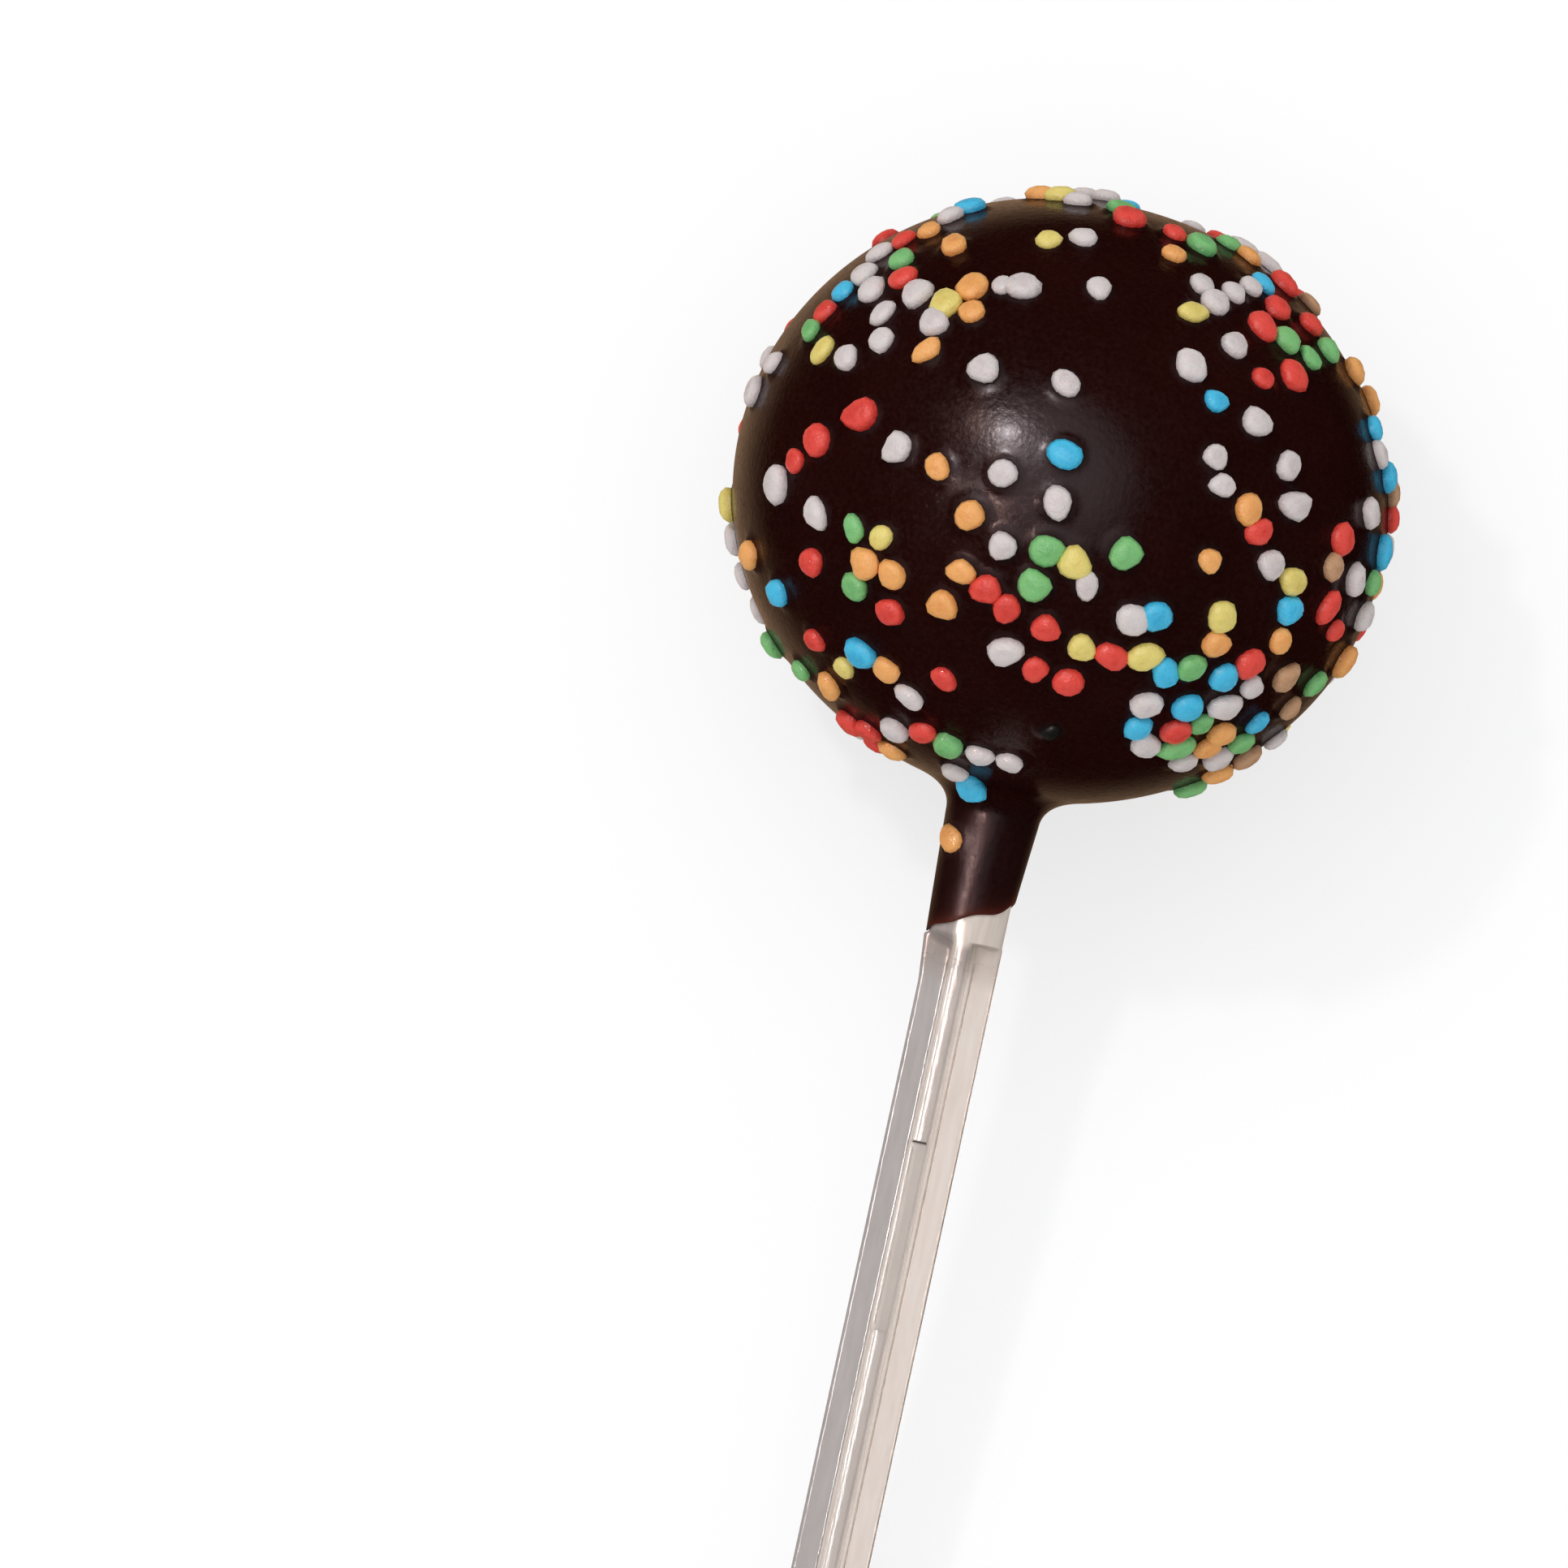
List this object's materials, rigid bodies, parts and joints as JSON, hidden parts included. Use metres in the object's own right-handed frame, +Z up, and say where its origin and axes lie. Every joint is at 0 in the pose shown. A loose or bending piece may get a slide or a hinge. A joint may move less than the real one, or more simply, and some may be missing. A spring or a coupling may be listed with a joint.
{
  "type": "cake pop",
  "caption": "Ball of cake dipped in dark chocolate and strewn with coloured sugar sprinkles, on a clear plastic stick with a plus-shaped section, lying on its unseen side.",
  "frame": {"origin": "on the small flat spot that the ball rests on, straight below the ball's centre", "axes": "+Z up, +Y along the pop from the stick's far end towards the ball, +X across the pop, to the right as seen from the shown side with the ball up"},
  "size_m": [0.0407, 0.1352, 0.0403],
  "materials": {
    "chocolate": "dark chocolate, soft gloss",
    "clear_plastic": "clear moulded plastic, smooth",
    "sugar_white": "white sugar sprinkles, matte",
    "sugar_red": "red sugar sprinkles, matte",
    "sugar_orange": "orange sugar sprinkles, matte",
    "sugar_yellow": "yellow sugar sprinkles, matte",
    "sugar_green": "green sugar sprinkles, matte",
    "sugar_blue": "blue sugar sprinkles, matte",
    "coated_sugar": "sprinkles under a thin film of chocolate"
  },
  "bodies": {
    "root": {"coating": "chocolate", "stick": "clear_plastic"}
  },
  "joints": []
}
